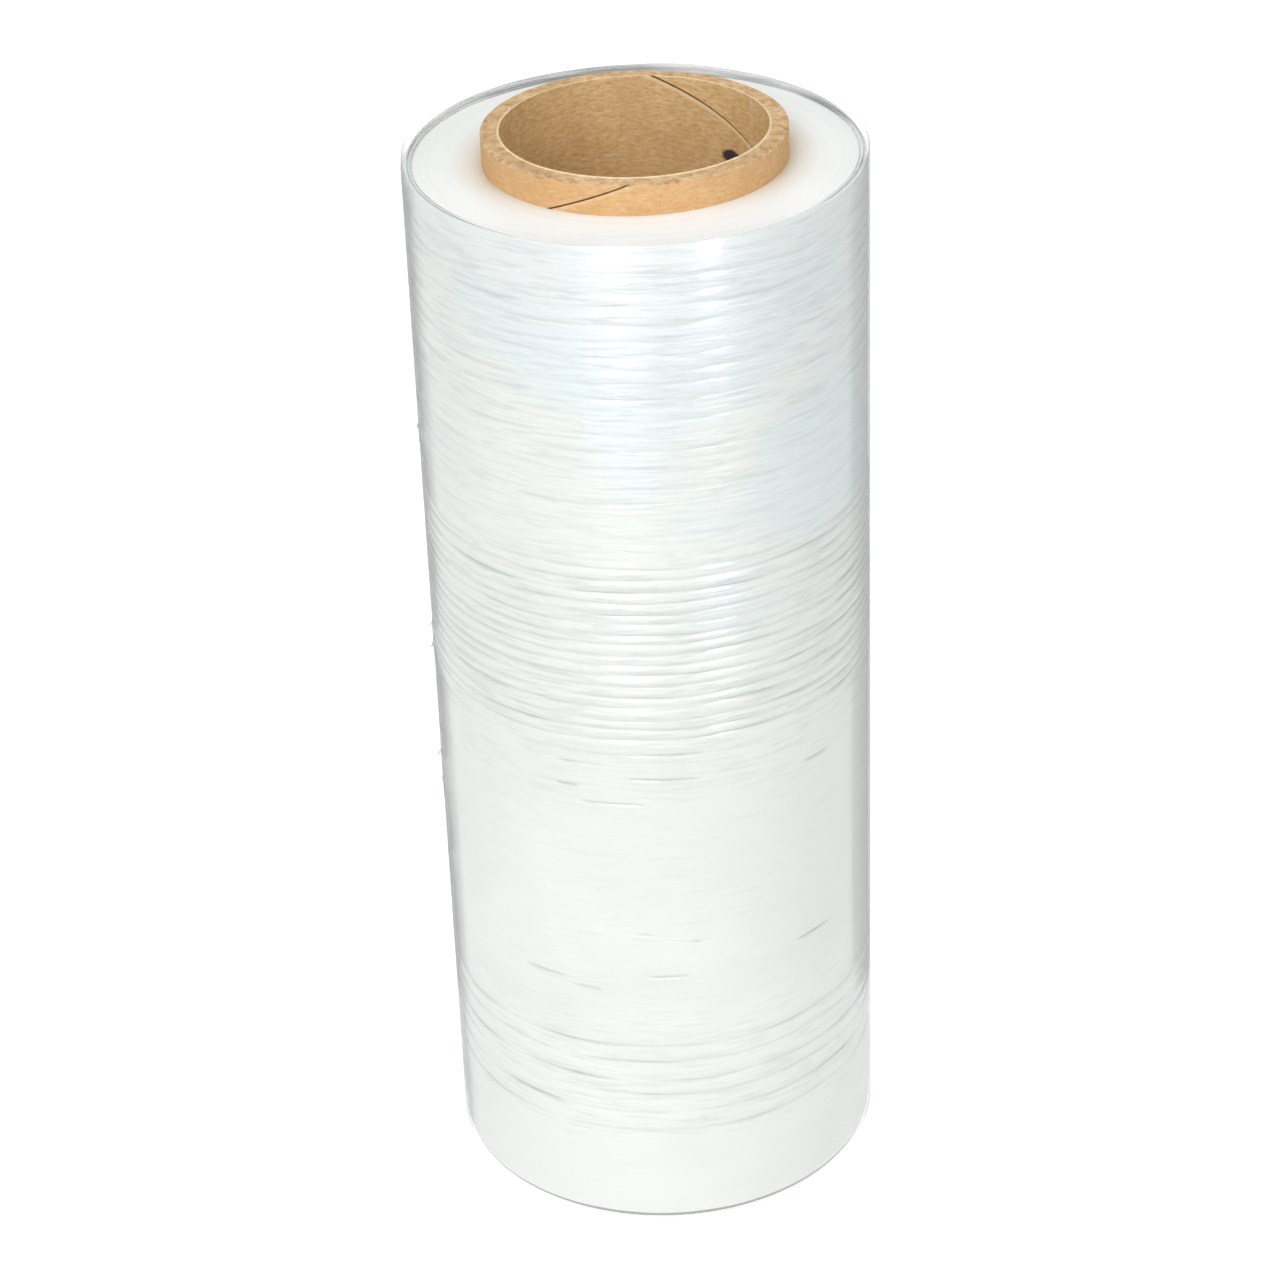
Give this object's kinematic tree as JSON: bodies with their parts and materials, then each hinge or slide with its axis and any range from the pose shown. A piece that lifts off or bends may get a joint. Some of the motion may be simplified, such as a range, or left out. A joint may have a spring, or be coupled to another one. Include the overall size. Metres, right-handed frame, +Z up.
{
  "type": "stretch wrap roll",
  "caption": "Full hand roll of clear stretch film wound on a spiral-wound paper tube that stands out at both ends, for wrapping pallets and packs.",
  "frame": {"origin": "centre of the paper tube's lower rim, on the surface that the roll stands on", "axes": "+Z up along the roll; -Y faces the picture's camera"},
  "size_m": [0.1334, 0.133, 0.348],
  "materials": {
    "core": "uncoated kraft paper, matt, with saw-cut rims",
    "film": "glossy clear polyethylene film, milky where many turns lie together"
  },
  "bodies": {
    "root": {"core": "core", "film": "film"}
  },
  "joints": []
}
